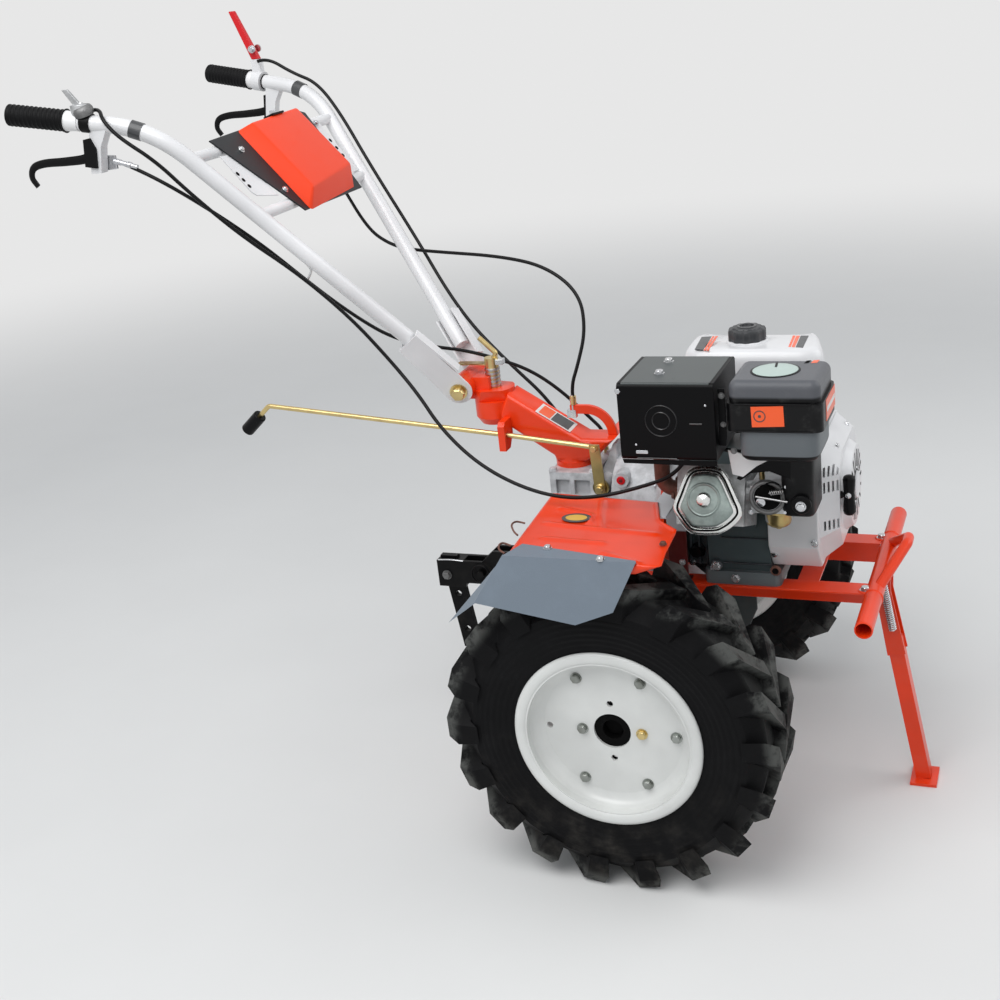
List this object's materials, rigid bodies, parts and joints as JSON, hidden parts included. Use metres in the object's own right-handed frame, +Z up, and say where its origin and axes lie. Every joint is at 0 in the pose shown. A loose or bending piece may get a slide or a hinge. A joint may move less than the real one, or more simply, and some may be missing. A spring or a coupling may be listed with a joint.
{
  "type": "petrol walk-behind hand tractor",
  "caption": "Petrol walk-behind hand tractor: lug wheels on a gear case, engine on front rails, long handlebars, fenders, rear hitch and a folding front stand.",
  "frame": {"origin": "middle of the footprint, on the ground", "axes": "+X forward, towards the bumper, +Y to the machine's left, +Z up"},
  "size_m": [1.5982, 1.0092, 1.543],
  "materials": {
    "black_paint": "black paint",
    "black_plastic": "satin black",
    "cable": "black sheath",
    "case_white": "white paint on castings",
    "cast": "as cast",
    "chrome": "bright",
    "flap_rubber": "blue grey sheet",
    "grey_case": "dark grey paint",
    "grey_plastic": "mid grey",
    "grip_rubber": "ribbed black rubber",
    "iron": "painted grey",
    "orange": "gloss orange paint",
    "orange_plastic": "gloss orange",
    "red_plastic": "gloss red",
    "rim_white": "white paint",
    "rubber_tyre": "dusty black rubber",
    "steel": "machined",
    "white": "gloss white paint",
    "zinc": "yellow zinc"
  },
  "bodies": {
    "root": {"air_cleaner": "black_plastic", "box_plate": "grey_plastic", "box_straps": "white", "bumper": "orange", "cable_clutch": "cable", "cable_far": "cable", "cable_near": "cable", "cable_throttle": "cable", "carburettor": "cast", "clutch_arm": "orange", "clutch_bell": "case_white", "column": "orange", "crankcase": "grey_case", "crossbars": "white", "cylinder": "cast", "depth_bar": "black_paint", "exhaust_pipe": "iron", "fan_shroud": "white", "fender_left": "orange", "fender_right": "orange", "fender_stay_left": "orange", "fender_stay_right": "orange", "flap_left": "flap_rubber", "flap_right": "flap_rubber", "frame": "orange", "fuel_tank": "white", "gear_case": "case_white", "gear_knob": "black_plastic", "gear_link": "zinc", "gear_rod": "zinc", "grip_left": "grip_rubber", "grip_right": "grip_rubber", "hand_lever_left": "black_paint", "hand_lever_right": "black_paint", "handlebar_left": "white", "handlebar_right": "white", "head_clamp": "zinc", "head_cover": "chrome", "hitch": "black_paint", "intake_elbow": "black_plastic", "muffler_guard": "black_paint", "recoil_cover": "white", "recoil_handle": "black_plastic", "reverse_clamp": "white", "reverse_lever": "red_plastic", "stop_fittings": "zinc", "swivel_head": "orange", "tank_bracket": "black_paint", "tank_cap": "black_plastic", "throttle_lever": "cast", "tool_box": "orange_plastic"},
    "wheel_left": {"axle_left": "steel", "hub_left": "grey_case", "rim_left": "rim_white", "tyre_left": "rubber_tyre"},
    "wheel_right": {"axle_right": "steel", "hub_right": "grey_case", "rim_right": "rim_white", "tyre_right": "rubber_tyre"},
    "stand": {"stand_leg": "orange"}
  },
  "joints": [
    {"name": "wheel_left_spin", "type": "hinge", "parent": "root", "child": "wheel_left", "pos_m": [0.28508, 0, 0.303], "axis": [0, 1, 0], "continuous": true},
    {"name": "wheel_right_spin", "type": "hinge", "parent": "root", "child": "wheel_right", "pos_m": [0.28508, 0, 0.303], "axis": [0, 1, 0], "continuous": true},
    {"name": "stand_fold", "type": "hinge", "parent": "root", "child": "stand", "pos_m": [0.70008, 0, 0.404], "axis": [0, 1, 0], "range_deg": [0, 62]}
  ]
}
